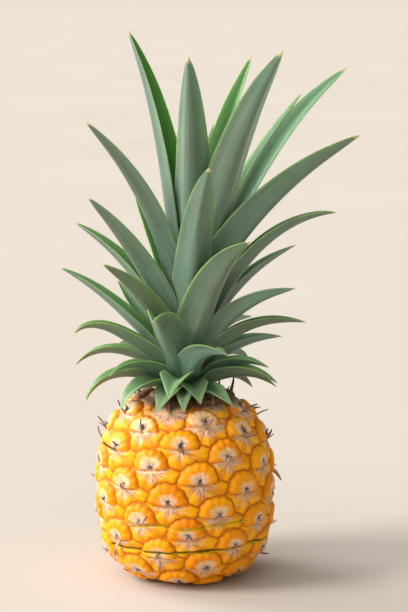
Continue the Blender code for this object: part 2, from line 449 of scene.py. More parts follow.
# %% Domes and bracts
# All lengths here are in mm on a full-sized eye, with the dark dot of the withered flower at
# (0, 0).
DOME_MIDDLE = -0.8
DOME_HALF_WIDTH = 10.4
DOME_RISE = 11.6
DOME_SQUARENESS = 2.35
DOME_EGG = 0.035  # how far a dome's rim strays to an egg shape, as a share of its reach
DOME_THREE_SIDES = 0.03  # and to a rounded triangle
CREASE_DROP = -2.7
CREASE_BOW = 0.009
RIM_LOBES = 15
RIM_LOBE_SHARE = 0.022
BRACT_MIDDLE = (0.5, -5.6)
BRACT_REACH = (13.0, 7.0)
BRACT_MM = 4.5  # about how many mm one whole difference between two bracts' reaches is


def crease_height(x):
    return CREASE_DROP + CREASE_BOW * (x - DOME_MIDDLE) ** 2


def inside_dome(near, x, y):
    """How far a point is inside the rim and above the crease of each dome, and its bearing."""
    aside = x - DOME_MIDDLE
    above = y - CREASE_DROP
    angle = np.arctan2(above, aside)
    reach = (np.abs(np.cos(angle) / DOME_HALF_WIDTH) ** DOME_SQUARENESS
             + np.abs(np.sin(angle) / DOME_RISE) ** DOME_SQUARENESS) ** (-1 / DOME_SQUARENESS)
    whim = eyes["whim"][near] * 2 * math.pi
    lobes = RIM_LOBE_SHARE * np.cos(RIM_LOBES * angle + 5 * whim)
    egg = DOME_EGG * np.cos(2 * angle + 3 * whim)
    stray = egg + DOME_THREE_SIDES * np.cos(3 * angle + 7 * whim)
    return reach * (1 + lobes + stray) - np.hypot(aside, above), y - crease_height(x), angle


from_rim, from_crease, dome_angle = inside_dome(near_eyes, eye_x, eye_y)
in_dome = np.minimum(from_rim, from_crease)
dome_winner = in_dome.argmax(1)
every_point = np.arange(len(sphere))
dome_depth = in_dome[every_point, dome_winner]
is_dome = dome_depth > 0
print("share of the rind that is dome:", round(float(is_dome.mean()), 2))

# %% Which eye owns each point
bract_away = np.hypot((eye_x - BRACT_MIDDLE[0]) / BRACT_REACH[0],
                      (eye_y - BRACT_MIDDLE[1]) / BRACT_REACH[1])
bract_order = np.argsort(bract_away, axis=1)
nearest_bracts = np.take_along_axis(bract_away, bract_order[:, :2], 1)
seam = (nearest_bracts[:, 1] - nearest_bracts[:, 0]) * BRACT_MM
owner_slot = np.where(is_dome, dome_winner, bract_order[:, 0])
owner = near_eyes[every_point, owner_slot]
own_x = eye_x[every_point, owner_slot]
own_y = eye_y[every_point, owner_slot]
own_rim = from_rim[every_point, owner_slot]
own_crease = from_crease[every_point, owner_slot]
own_angle = dome_angle[every_point, owner_slot]
own_whim = eyes["whim"][owner]
print("eyes that own some of the rind:", len(np.unique(owner)))

# %% Raising and sinking the skin
RIND_LOW = -1.7  # all of these in mm
DOME_SWELL = 3.2
RIM_ROUND = 4.2
CREASE_ROUND = 2.8
CREASE_SHARE = 0.6  # of a dome's swell that is there right at its crease
DOME_DIP = 0.4
DOT_HOLLOW = 0.5
PLEAT_HEIGHT = 0.1
BRACT_SWELL = 1.5
BRACT_STEP = 0.6
BRACT_FADE = 7.5
BRACT_HALF_WIDTH = 15
BRACT_FOLDS = 6
BRACT_FOLD_TURN = 19
FOLD_HEIGHT = 0.32
FLESHY_SWELL = 0.5


def round_over(distance, width):
    """A quarter circle: 0 at the edge, 1 from width inwards."""
    t = np.clip(distance / width, 0, 1)
    return np.sqrt(1 - (1 - t) ** 2)


def smooth_step(t):
    t = np.clip(t, 0, 1)
    return t * t * (3 - 2 * t)


def dome_relief():
    """A swollen dome with a shallow dip, a hollow round the dot, and fine pleats at its rim."""
    from_edge = CREASE_SHARE + (1 - CREASE_SHARE) * round_over(own_crease, CREASE_ROUND)
    swell = DOME_SWELL * round_over(own_rim, RIM_ROUND) * from_edge
    dip = DOME_DIP * np.exp(-((own_x / 5.5) ** 2 + ((own_y - 0.8) / 3.6) ** 2) * 1.2)
    hollow = dip + DOT_HOLLOW * np.exp(-(own_x**2 + (own_y - 0.3) ** 2) / 3.0)
    pleats = PLEAT_HEIGHT * np.cos(RIM_LOBES * own_angle + 10 * math.pi * own_whim)
    pleats = pleats * smooth_step(np.hypot(own_x, own_y) / 6) * smooth_step(own_rim / 1.5)
    return RIND_LOW + swell - hollow + pleats


def bract_relief():
    """A flap that is highest under the crease, folded like a fan, and fleshy at its far edge."""
    below = np.maximum(-own_crease, 0)
    sideways = np.clip(1 - (own_x / BRACT_HALF_WIDTH) ** 2, 0, 1)
    flap = BRACT_SWELL * np.exp(-below / BRACT_FADE) * (0.35 + 0.65 * sideways)
    edge = round_over(-dome_depth, 2.0) * round_over(seam, 1.8)
    angle = np.arctan2(own_y - CREASE_DROP, own_x)
    folds = FOLD_HEIGHT * np.cos(BRACT_FOLDS * angle + BRACT_FOLD_TURN * own_whim)
    folds = folds * smooth_step(np.hypot(own_x, own_y - CREASE_DROP) / 5)
    fleshy = FLESHY_SWELL * smooth_step((below - 3) / 3) * smooth_step(-dome_depth / 2)
    return RIND_LOW + (BRACT_STEP + flap + fleshy + folds) * edge


relief = np.where(is_dome, dome_relief(), bract_relief())
print("relief from", round(float(relief.min()), 2), "to", round(float(relief.max()), 2), "mm")

# %% How near each point is to a groove
LIP = 1.5  # mm below a crease, over which the bract's lip stays out of the groove
LIP_AWAY = 0.7  # mm from the groove that the lip is taken to be
CREASE_STEEPNESS = 1.7  # a crease falls away faster than a rim, so its groove is narrower
under_lip = (own_crease < 0) & (-own_crease < LIP)
dome_groove = np.minimum(own_rim, CREASE_STEEPNESS * own_crease)
bract_groove = np.minimum(np.maximum(-dome_depth, LIP_AWAY * under_lip), seam)
groove = np.where(is_dome, dome_groove, bract_groove)
print("share of the rind in a groove:", round(float((groove < 1).mean()), 2))

# %% [markdown]
# ## Two knife scars
# Someone scored the fruit twice with a knife, low on the front. A scar is a shallow slot that
# wavers round the fruit. It could be cut out with a second mesh, but the skin is only lowered a
# little along a line, so each point is sunk by how near it lies to that line.

# %% The lines of the scars
SCARS = {
    # places along each scar: (degrees round, height in mm)
    "long": [(-150, 21.5), (-125, 22.6), (-90, 23.0), (-60, 23.4), (-42, 24.4), (-15, 23.0)],
    "short": [(-128, 34.8), (-108, 37.4), (-96, 36.0), (-86, 36.0), (-66, 37.6), (-46, 37.4)],
}
SCAR_DEPTH = {"long": 1.4, "short": 1.08}
SCAR_WIDTH = 0.75
SCAR_STAIN = 1.2  # a scar deeper than this is stained more broadly, a shallower one less
BEHIND = 80  # degrees round, a place with no scar, where the count of degrees starts anew
MM_PER_DEGREE = 0.8  # round the fruit at the height of the scars


def scar_distance(places):
    """How far above or below a scar each point is, in mm; far away past its ends."""
    round_by = np.degrees(rind_place["turn"])
    round_by = np.where(round_by > BEHIND, round_by - 360, round_by)
    turns, levels = np.array(places).T
    level = np.interp(round_by, turns, levels)
    past = np.maximum(np.maximum(turns[0] - round_by, round_by - turns[-1]), 0)
    return np.hypot(rind_place["height"] / MM - level, past * MM_PER_DEGREE)


scar_away = {name: scar_distance(places) for name, places in SCARS.items()}
scar = np.min([scar_away[name] + SCAR_STAIN - SCAR_DEPTH[name] for name in SCARS], axis=0)
for name, away in scar_away.items():
    relief = relief - SCAR_DEPTH[name] * np.exp(-((away / SCAR_WIDTH) ** 2))
print("points in a scar:", int((scar < SCAR_WIDTH).sum()))

# %% Setting the skin
POLE_FADE = 14 * MM  # the relief dies out this near to the two poles
LOWEST_SKIN = 0.6 * MM  # the fruit rests on its cut stalk, clear of the table
normal_height = -np.interp(rind_run, fine_run, np.gradient(fine_radius, fine_run))
normal_radius = np.interp(rind_run, fine_run, np.gradient(fine_height, fine_run))
normal_length = np.hypot(normal_height, normal_radius)
lift = relief * MM * smooth_step(rind_place["radius"] / POLE_FADE)
skin_radius = np.maximum(rind_place["radius"] + lift * normal_radius / normal_length, 0)
skin_height = rind_place["height"] + lift * normal_height / normal_length
skin = np.stack([
    skin_radius * np.cos(rind_place["turn"]),
    skin_radius * np.sin(rind_place["turn"]),
    np.maximum(skin_height, LOWEST_SKIN),
], 1)
rind.data.vertices.foreach_set("co", skin.ravel())
print("the rind is", round(np.ptp(skin[:, 0]) / MM, 1), "mm wide")

# %% [markdown]
# ## What the shader will read
# Where a point lies in its eye is known here, and is lost once the skin is only a mesh. So it is
# kept on the mesh: as a second UV map, which may jump from one eye to the next between two faces,
# and as named numbers, which a shader reads and blends across each face.

# %% Keeping the eye map
FAR_AWAY = 8  # mm, past which a shader has no use for a distance
DOME_EDGE = 0.8  # mm, over which bract turns to dome
EYE_MAP_SCALE = 0.02
EYE_MAP_MIDDLE = 0.5


def store(piece, name, values, domain="POINT"):
    """Keeps one number for each vertex or face, where a material can read it."""
    layer = piece.data.attributes.new(name, "FLOAT", domain)
    layer.data.foreach_set("value", np.asarray(values, np.float32))


def add_eye_map(piece):
    """A UV map that says where each corner lies in the eye that owns its face."""
    mesh = piece.data
    corner_points = np.zeros(len(mesh.loops), int)
    mesh.loops.foreach_get("vertex_index", corner_points)
    starts = np.zeros(len(mesh.polygons), int)
    mesh.polygons.foreach_get("loop_start", starts)
    totals = np.zeros(len(mesh.polygons), int)
    mesh.polygons.foreach_get("loop_total", totals)
    face_owner = owner[corner_points[starts]]
    corner_owner = np.repeat(face_owner, totals)
    found = near_eyes[corner_points] == corner_owner[:, None]
    at = found.argmax(1)
    place = np.stack([eye_x[corner_points, at], eye_y[corner_points, at]], 1)
    place = place * EYE_MAP_SCALE + EYE_MAP_MIDDLE
    layer = mesh.uv_layers.new(name="eye", do_init=False)
    layer.uv.foreach_set("vector", place.astype(np.float32).ravel())
    store(piece, "whim", eyes["whim"][face_owner], "FACE")


store(rind, "groove", np.clip(groove, 0, FAR_AWAY))
store(rind, "dome", np.clip(0.5 + dome_depth / DOME_EDGE, 0, 1))
store(rind, "scar", np.clip(scar, 0, FAR_AWAY))
rind.data.uv_layers[0].name = "OFBake"
add_eye_map(rind)
deselect()
rind.select_set(True)
bpy.context.view_layer.objects.active = rind
bpy.ops.object.shade_smooth()
print("rind faces:", len(rind.data.polygons))

# %% [markdown]
# ## The finish of the rind
# A ripe eye is golden. Near its grooves it is painted a deeper orange, a painted shade for the
# little light that gets in there. The hollows of its bract's folds are painted darker and their
# tops lighter, as painted shade and painted light. Round the dark dot, where the flower withered,
# lies a pale patch with fine dark rays. The bract is fleshy orange at its edges and dry tan paper
# in the middle. All of this follows the eye and not the fruit, so the shader reads the eye map
# made above, and each eye's own whim makes it a little different from the next.

# %% What several layers of the rind share
SHOULDER = (0.078, 0.096)  # metres up, from ripe skin to the dry shoulder under the crown
NECK = (0.092, 0.0965)  # and to the dark ring round the stem


class RindFinish(Finish):
    """The rind's material, with the values that more than one of its layers reads."""

    def __init__(self):
        super().__init__("rind", Specular_IOR_Level=0.17,
                         Subsurface_Weight=0.35, Subsurface_Scale=0.004)
        across, up = self.place_on("eye")
        self.x = self.line(across, 1 / EYE_MAP_SCALE, -EYE_MAP_MIDDLE / EYE_MAP_SCALE)
        self.y = self.line(up, 1 / EYE_MAP_SCALE, -EYE_MAP_MIDDLE / EYE_MAP_SCALE)
        self.whim = self.attribute("whim")
        self.dome = self.attribute("dome")
        self.groove = self.attribute("groove")
        self.height = self.parts(self.place())[2]
        self.dryness = self.between(self.height, *SHOULDER)
        self.broad = self.noise(self.place(), 70.0, 3.0)
        self.fine = self.noise(self.place(), 420.0, 3.0, 0.6)
        self.wobble = self.line(self.fine, 1.1, -0.55)
        self.drift = self.line(self.math("SINE", self.times(self.whim, 31.0)), 0.5, 0.0)
        self.reach = self.line(self.dryness, -0.5, self.times(self.drift, 0.3))
        streak_place = self.joined(self.times(self.x, 2.4), self.times(self.y, 0.42),
                                   self.times(self.whim, 90.0))
        self.streaks = self.noise(streak_place, 1.0, 3.0, 0.65)
        self.read_bract()

    def ellipse(self, middle_x, middle_y, half_x, half_y):
        """0 in the middle of an ellipse on the eye, 1 on its line."""
        across = self.line(self.x, 1 / half_x, -middle_x / half_x)
        up = self.line(self.y, 1 / half_y, -middle_y / half_y)
        squares = [self.math("POWER", self.math("ABSOLUTE", side), 2.0) for side in (across, up)]
        return self.math("SQRT", self.plus(*squares))

    def read_bract(self):
        """The bearing and the fibres of the bract, and how papery it is at each place."""
        below = self.math("SUBTRACT", self.y, CREASE_DROP)
        self.bearing = self.math("ARCTAN2", below, self.x)
        fibre_place = self.joined(self.times(self.bearing, 7.0),
                                  self.times(self.ellipse(0, CREASE_DROP, 1, 1), 0.22),
                                  self.times(self.whim, 70.0))
        self.fibres = self.noise(fibre_place, 1.0, 3.0, 0.7)
        star = self.times(self.math("COSINE", self.times(self.bearing, 4.0)), -0.2)
        paper = self.plus(self.ellipse(0.2, CREASE_DROP - 1.0, 7.4, 5.0), self.wobble)
        paper = self.plus(self.plus(paper, self.reach), star)
        self.paper = self.between(paper, 0.45, 1.15, 1.0, 0.0)


rind_paint = RindFinish()
print("nodes that the layers share:", len(rind_paint.tree.nodes))


# %% Golden flesh, with painted shade near the grooves and in the bract's folds
def gold_and_groove_shade_of_dome(made):
    gold = made.mix(made.between(made.broad, 0.35, 0.65), paint(238, 150, 0), paint(224, 128, 0))
    gold = made.mix(made.times(made.whim, 0.5), gold, paint(252, 178, 2))
    # painted shade: the dome turns a deeper orange near each groove, where less light gets in
    return made.mix(made.between(made.groove, 0.3, 1.7, 0.6, 0.0), gold, paint(214, 118, 0))


def gold_and_shade_of_bract(made):
    """Painted light on the tops of the bract's folds, painted shade in their hollows and grooves.
    """
    turn = made.line(made.bearing, BRACT_FOLDS, made.times(made.whim, BRACT_FOLD_TURN))
    # painted shade in the hollows of the folds that the relief carves, and painted light on their
    # tops
    fold_hollow_shade = made.between(made.math("COSINE", turn), -1.0, 0.3, 0.6, 0.0)
    gold = made.mix(fold_hollow_shade, paint(250, 172, 4), paint(216, 120, 2))
    # painted shade: a deeper orange near each groove
    return made.mix(made.between(made.groove, 0.2, 1.2, 0.65, 0.0), gold, paint(200, 96, 0))


dome_gold_and_groove_shade = gold_and_groove_shade_of_dome(rind_paint)
bract_gold_and_shade = gold_and_shade_of_bract(rind_paint)
print("nodes with the gold:", len(rind_paint.tree.nodes))


# %% The pale patch round the dot
def cream_patch(made):
    """How much of the cream patch shows at each place of the dome."""
    patch = made.plus(made.plus(made.ellipse(-0.6, 0.9, 6.1, 4.2), made.wobble), made.reach)
    return made.times(made.between(patch, 0.6, 1.0, 1.0, 0.0), made.dome)


def dark_rays(made):
    """Fine rays that run out from the dot and break up on the way."""
    crackle = made.line(made.fine, 13.0, made.times(made.whim, 40.0))
    spokes = made.math("SINE", made.line(made.math("ARCTAN2", made.x, made.y), 5.0, crackle))
    near_dot = made.between(made.ellipse(0, 0, 3.8, 3.2), 0.15, 1.0, 1.0, 0.0)
    return made.times(made.between(spokes, 0.6, 0.98), near_dot)


def paint_dome(made, colour):
    patch = cream_patch(made)
    cream = made.between(made.streaks, 0.35, 0.65)
    cream = made.mix(cream, paint(240, 212, 174), paint(230, 174, 96))
    colour = made.mix(made.times(patch, 0.9), colour, cream)
    lilac = made.plus(made.ellipse(-0.4, -0.4, 4.7, 2.8), made.times(made.wobble, 1.5))
    lilac = made.times(made.between(lilac, 0.25, 1.15, 0.8, 0.0), made.dome)
    lilac_grey = made.mix(made.fine, paint(196, 160, 150), paint(222, 196, 184))
    colour = made.mix(lilac, colour, lilac_grey)
    rays = made.times(made.times(dark_rays(made), patch), 0.75)
    colour = made.mix(rays, colour, paint(112, 78, 64))
    smear = made.plus(made.ellipse(0, -1.5, 2.0, 1.7), made.times(made.wobble, 1.6))
    smear = made.times(made.between(smear, 0.3, 1.1, 0.75, 0.0), made.dome)
    colour = made.mix(smear, colour, paint(120, 92, 92))
    dot_size = made.line(made.drift, 0.5, 0.75)
    dot = made.math("DIVIDE", made.ellipse(0, 0, 0.9, 0.8), dot_size)
    dot = made.between(made.plus(dot, made.times(made.wobble, 1.6)), 0.7, 1.15, 0.95, 0.0)
    return made.mix(made.times(dot, made.dome), colour, paint(58, 42, 46))


dome_colour = paint_dome(rind_paint, dome_gold_and_groove_shade)
print("nodes with the dome:", len(rind_paint.tree.nodes))


# %% The dry middle of the bract
def paint_bract(made, colour):
    """Tan paper, its fibres spreading from under the dot, with a pale lip along the crease."""
    fibre = made.between(made.fibres, 0.34, 0.58)
    fibre = made.mix(fibre, paint(134, 102, 96), paint(220, 184, 162))
    fibre = made.mix(made.between(made.fine, 0.45, 0.75), fibre, paint(214, 150, 104))
    colour = made.mix(made.times(made.paper, 0.85), colour, fibre)
    far = made.between(made.ellipse(0, CREASE_DROP, 12, 9), 0.5, 1.0, 0.5, 0.0)
    far = made.times(made.between(made.fibres, 0.52, 0.62), far)
    colour = made.mix(far, colour, paint(248, 212, 150))
    lip = made.ellipse(0, CREASE_DROP - 0.6, 10.0, 0.6)
    lip = made.plus(made.plus(lip, made.times(made.wobble, 2.4)), 0.3)
    lip = made.between(made.line(made.drift, 1.2, lip), 0.4, 1.1, 0.75, 0.0)
    return made.mix(lip, colour, paint(246, 214, 168))


bract_colour = paint_bract(rind_paint, bract_gold_and_shade)
print("nodes with the bract:", len(rind_paint.tree.nodes))


# %% Painted shade in the grooves, scars, shoulder and shine
def paint_whole(made, colour):
    """Deep orange painted shade in grooves, olive scars with green-gold lips, and the dry shoulder.
    """
    # painted shade: deep orange where a point lies in a groove
    colour = made.mix(made.between(made.groove, 0.0, 0.7, 0.7, 0.0), colour, paint(170, 88, 2))
    from_scar = made.attribute("scar")
    colour = made.mix(made.between(from_scar, 0.5, 1.8, 0.6, 0.0), colour, paint(206, 168, 10))
    colour = made.mix(made.between(from_scar, 0.15, 0.55, 0.9, 0.0), colour, paint(104, 76, 4))
    dry = made.times(made.dryness, made.between(made.fibres, 0.25, 0.6, 0.3, 0.0))
    colour = made.mix(dry, colour, paint(170, 138, 122))
    return made.mix(made.between(made.height, *NECK, 0.0, 0.85), colour, paint(58, 42, 30))


def shine(made):
    """Waxy flesh and dull paper, with small bumps that are strongest on the bract."""
    papery = made.times(made.paper, made.math("SUBTRACT", 1.0, made.dome))
    made.set("Roughness", made.line(made.fine, 0.12, made.line(papery, 0.3, 0.36)))
    pores = made.times(made.noise(made.place(), 900.0, 2.0), 0.5)
    ribs = made.times(made.streaks, made.math("SUBTRACT", 1.15, made.dome))
    made.bump(made.plus(ribs, pores), 0.5, 0.0006)


eye_colour = rind_paint.mix(rind_paint.dome, bract_colour, dome_colour)
rind_paint.set("Base Color", paint_whole(rind_paint, eye_colour))
shine(rind_paint)
rind.data.materials.clear()
rind.data.materials.append(rind_paint.material)
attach(rind, "root")
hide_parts("fruit")
print("rind finish nodes:", len(rind_paint.tree.nodes))

# %% [markdown]
# ## Dry bract tips and withered flowers
# Every bract ends in a point that dries to a curled, papery strip. Low on the fruit most are
# short, tan and stand out or hang from the crease; near the crown they are long dark bristles
# that stand up. At the dot of each eye a few dark shreds of the flower are left. One strip is
# modelled, curled by three amounts, and copied.

# %% One curled strip
STRIP_ROWS = 6
STRIP_TAPER = 0.75
STRIP_TIP_SHARE = 0.04
STRIP_TROUGH = 0.35


def add_strip(length, width, thickness, curl):
    """A tapering strip from the origin, that runs out along +Y and curls up by curl radians."""
    deselect()
    bpy.ops.mesh.primitive_grid_add(x_subdivisions=2, y_subdivisions=STRIP_ROWS, size=2)
    strip = bpy.context.object
    for vertex in strip.data.vertices:
        s = (vertex.co.y + 1) / 2
        bend = curl * s
        out = math.sin(bend) / curl * length
        up = (1 - math.cos(bend)) / curl * length
        half = 0.5 * width * max(1 - s, STRIP_TIP_SHARE) ** STRIP_TAPER
        trough = STRIP_TROUGH * half * abs(vertex.co.x)
        vertex.co = Vector((vertex.co.x * half, out - trough * math.sin(bend), up + trough))
    solid = strip.modifiers.new("thickness", "SOLIDIFY")
    solid.thickness = thickness
    solid.offset = 0
    bpy.ops.object.modifier_apply(modifier=solid.name)
    store(strip, "toward_tip", [vertex.co.length / length for vertex in strip.data.vertices])
    bpy.ops.object.shade_smooth()
    return strip


STRIPS = {
    "bent": add_strip(7.5 * MM, 2.3 * MM, 0.35 * MM, 1.1),
    "curled": add_strip(8 * MM, 2.0 * MM, 0.35 * MM, 2.7),
    "straight": add_strip(6.5 * MM, 1.9 * MM, 0.4 * MM, 0.5),
}
print("faces in one strip:", len(STRIPS["bent"].data.polygons))

# %% [markdown]
# ## Setting the strips
# A strip has to stand on the finished, swollen skin and not on the bare outline. Each place is
# given on an eye, across and up from its dot, and the nearest point of the skin that this eye
# owns tells where it is and which way is out. The copies are then joined, one piece for each kind.

# %% Where on an eye a strip is set
SPOT_REACH = 1.5  # mm, within which a point of the skin will do
OTHER_EYE = 99  # mm, added for the points of other eyes, so that none of them is chosen


def skin_spot(eye, x, y):
    """A place of one eye on the finished skin, with the way out, or None if it isn't there."""
    away = np.hypot(own_x - x, own_y - y) + OTHER_EYE * (owner != eye)
    nearest = int(np.argmin(away))
    if away[nearest] > SPOT_REACH:
        return None
    turn = rind_place["turn"][nearest]
    steep = normal_radius[nearest] / normal_length[nearest]
    level = normal_height[nearest] / normal_length[nearest]
    outward = Vector((math.cos(turn) * steep, math.sin(turn) * steep, level))
    return Vector(skin[nearest]), outward


middle_eye = int(np.argmin(abs(eyes["height"] - EYE_START_HEIGHT)))
print("the dot of the middle eye is at", skin_spot(middle_eye, 0, 0)[0])


# %% Setting and joining strips
ALONG_STRIP = Vector((0, 1, 0))
UP = Vector((0, 0, 1))
ROOT_DEPTH = 0.4 * MM  # how deep a strip's root is set in the skin


def set_strip(kind, place, outward, lean, swing, roll, scale):
    """A copy of a strip on the skin. lean turns it up from straight out, swing to the side."""
    copy = STRIPS[kind].copy()
    copy.data = STRIPS[kind].data.copy()
    bpy.context.collection.objects.link(copy)
    side = UP.cross(outward).normalized()
    outward = Quaternion(side, -lean) @ outward
    outward = Quaternion(UP, swing) @ outward
    turn = outward.to_track_quat("Y", "Z") @ Quaternion(ALONG_STRIP, roll)
    root = place - outward * ROOT_DEPTH
    copy.matrix_world = Matrix.LocRotScale(root, turn, Vector((scale, scale, scale)))
    return copy


def join_strips(copies, name, finish):
    """All the strips as one piece whose place is in its mesh."""
    deselect()
    for copy in copies:
        copy.select_set(True)
    bpy.context.view_layer.objects.active = copies[0]
    bpy.ops.object.join()
    piece = bpy.context.object
    piece.name = name
    bpy.ops.object.transform_apply(location=True, rotation=True, scale=True)
    piece.data.materials.clear()
    piece.data.materials.append(finish)
    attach(piece, "root")
    print(name, "is", len(copies), "strips")


def dry_finish(name, root_colour, tip_colour):
    """Dead papery fibre: pale and streaked at its root, darker at its tip."""
    made = Finish(name, Roughness=0.75, Specular_IOR_Level=0.25)
    grain = made.noise(made.place((1, 1, 0.4)), 1500.0, 3.0, 0.6)
    along = made.plus(made.attribute("toward_tip"), made.line(grain, 0.7, -0.35))
    colour = made.mix(made.between(along, 0.35, 1.0), root_colour, tip_colour)
    streaked = made.mix(made.between(grain, 0.3, 0.7, 0.5, 0.0), colour, paint(96, 68, 52))
    made.set("Base Color", streaked)
    made.bump(grain, 0.6, 0.0002)
    return made.material


print("strips to copy:", ", ".join(STRIPS))

# %% Bract tips and flower shreds
DRY_FROM = 74 * MM  # above this height the tips are long and dark
CLEAR_OF_TABLE = 5 * MM  # below this height there is no room for them over the table
HANGING_SHARE = 0.35
CURLED_SHARE = 0.3
FORKED_SHARE = 0.3
tips_low, tips_high, shreds = [], [], []


def set_bract_tip(eye, dry):
    """The dry tip of one bract, now and then forked, if the skin has room for it."""
    spot = skin_spot(eye, luck.uniform(-0.8, 0.8), CREASE_DROP - 0.5)
    if not spot or spot[0].z <= CLEAR_OF_TABLE:
        return
    hanging = luck.uniform() < HANGING_SHARE and spot[0].z > 3 * CLEAR_OF_TABLE
    lean = luck.uniform(-50, -15) if hanging and not dry else luck.uniform(-5, 40)
    lean = math.radians(lean)
    kind = "straight" if dry else ("curled" if luck.uniform() < CURLED_SHARE else "bent")
    scale = luck.uniform(1.1, 1.7) if dry else luck.uniform(0.65, 1.5)
    swing = math.radians(luck.uniform(-50, 50))
    roll = luck.uniform(-0.5, 0.5) + (math.pi if hanging else 0)
    tips = tips_high if dry else tips_low
    tips.append(set_strip(kind, *spot, lean, swing, roll, scale))
    if luck.uniform() < FORKED_SHARE:
        tips.append(set_strip(kind, *spot, lean - 0.2, swing + 0.5, roll, scale * 0.7))


def set_shreds(eye, dry):
    """What is left of one flower: two small dark shreds, or three larger ones near the crown."""
    for _ in range(3 if dry else 2):
        spot = skin_spot(eye, luck.uniform(-0.7, 0.7), luck.uniform(-0.9, 0.3))
        if spot and spot[0].z > 0.7 * CLEAR_OF_TABLE:
            aim = math.radians(luck.uniform(-60, 60))
            swing = math.radians(luck.uniform(-80, 80))
            size = luck.uniform(0.25, 0.5) * (1.5 if dry else 1)
            shreds.append(set_strip("bent", *spot, aim, swing, luck.uniform(-3, 3), size))


for eye in range(EYE_COUNT):
    dry = eyes["height"][eye] > DRY_FROM
    set_bract_tip(eye, dry)
    set_shreds(eye, dry)
papery = dry_finish("papery_tip", paint(222, 190, 164), paint(126, 84, 60))
bristly = dry_finish("dark_bristle", paint(176, 134, 100), paint(84, 54, 38))
withered = dry_finish("withered_flower", paint(120, 92, 84), paint(60, 44, 44))
join_strips(tips_low, "bract_tips", papery)
join_strips(tips_high, "bract_bristles", bristly)
join_strips(shreds, "flower_shreds", withered)
for pattern in STRIPS.values():
    bpy.data.objects.remove(pattern)

# %% [markdown]
# ## The crown
# Every leaf is a stiff channel with a rounded keel. The packed leaf gives the line of its keel,
# its plane and its greatest width, so a new blade can lie where the packed one does. The blade
# starts as a flat grid, is laid along the keel with its two halves folded up, and Solidify gives
# it its thickness: thick at the keel, thin at the edges. The base is wide and wraps the stem, as
# a rosette's leaves do.

# %% Reading the line of a leaf
LEAF_COUNT = sum(name.startswith("leaf_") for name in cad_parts)
STEM_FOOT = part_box("crown_stem")[0].z
STEM_LEAN = math.tan(math.radians(2.5))
CAD_RINGS = 11
CAD_SPREAD_SHARE = 0.716  # the packed blade's widest spread beside its full width, folded as it is
ON_KEEL = 2e-5  # metres, within which a point counts as on the keel


def across_plane(points):
    """The level direction across a leaf, square to the upright plane that its keel lies in."""
    offsets = points[:, :2] - points[:, :2].mean(0)
    directions = np.linalg.eigh(offsets.T @ offsets)[1].T
    in_plane = [int((abs(offsets @ d) < ON_KEEL).sum()) for d in directions]
    best = directions[int(np.argmax(in_plane))]
    return np.array([best[0], best[1], 0.0])


def stem_axis(height):
    """The middle of the leaning crown stem at a height."""
    return STEM_LEAN * (height - STEM_FOOT)


def read_leaf(node):
    """The keel of a packed leaf from root to tip, the direction across it, and its full width."""
    points = unique_points(node)
    side = across_plane(points)
    offsets = (points - points.mean(0)) @ side
    keel_points = points[abs(offsets) < ON_KEEL]
    from_stem = np.hypot(keel_points[:, 0] - stem_axis(keel_points[:, 2]), keel_points[:, 1])
    root = keel_points[np.argmin(from_stem + 0.5 * keel_points[:, 2])]
    order = np.argsort(np.linalg.norm(keel_points - root, axis=1))
    keel = keel_points[order].reshape(CAD_RINGS, 2, 3).mean(1)
    outward = keel[-1] - keel[0]
    if np.cross(side, outward)[2] > 0:
        side = -side
    return keel, side, 2 * abs(offsets).max() / CAD_SPREAD_SHARE


print("leaves:", LEAF_COUNT, "the first is", round(read_leaf("leaf_01")[2] / MM, 1), "mm wide")

# %% The outline of a blade
BLADE_ACROSS = 18
BLADE_ALONG = 48
BASE_SHARE = 0.3  # of the length, over which the wrapped base opens into a channel
BASE_WIDTH_SHARE = 0.92
SHORT_BLADE, LONG_BLADE = 35 * MM, 90 * MM
TAPER_SHORT, TAPER_LONG = 0.95, 0.7
TAPER_SWELL = 1.2  # how strongly a blade widens above its root
TAPER_FULLEST = 1.06  # what a long blade's taper then reaches, and is scaled back from
STRAIGHT_SHARE = 0.5  # of a spear's length, over which it narrows in a straight line
NEEDLE_SHARE = 0.012


def blade_half_width(s, length, spear):
    """Share of the half width at s, from 0 at the root to 1 at the needle tip."""
    point = np.interp(length, [SHORT_BLADE, LONG_BLADE], [TAPER_SHORT, TAPER_LONG])
    taper = (1 - s) ** point * (1 + TAPER_SWELL * s) / TAPER_FULLEST
    straight = np.minimum(1, (1 - s) / STRAIGHT_SHARE)
    taper = taper * (1 - spear) + straight * spear
    root = BASE_WIDTH_SHARE + (1 - BASE_WIDTH_SHARE) * smooth_step(s / BASE_SHARE)
    return np.maximum(taper * root, NEEDLE_SHARE)


print("a blade is", (BLADE_ACROSS + 1) * (BLADE_ALONG + 1), "points before it has thickness")

# %% Across a blade
SLOPE_STEPS = 41
KEEL_SHARE = 0.3  # of the half width, over which the rounded keel turns up into the side
WRAP = 1.3  # how much tighter a base wraps than the stem is round
MOST_WRAP = 1.2
STEM_WRAP_RADIUS = 11 * MM


def summed(values, step):
    """Each row of values added up along its steps, from nothing."""
    middles = 0.5 * (values[:, 1:] + values[:, :-1])
    return np.concatenate([np.zeros((len(values), 1)), np.cumsum(middles * step, 1)], 1)


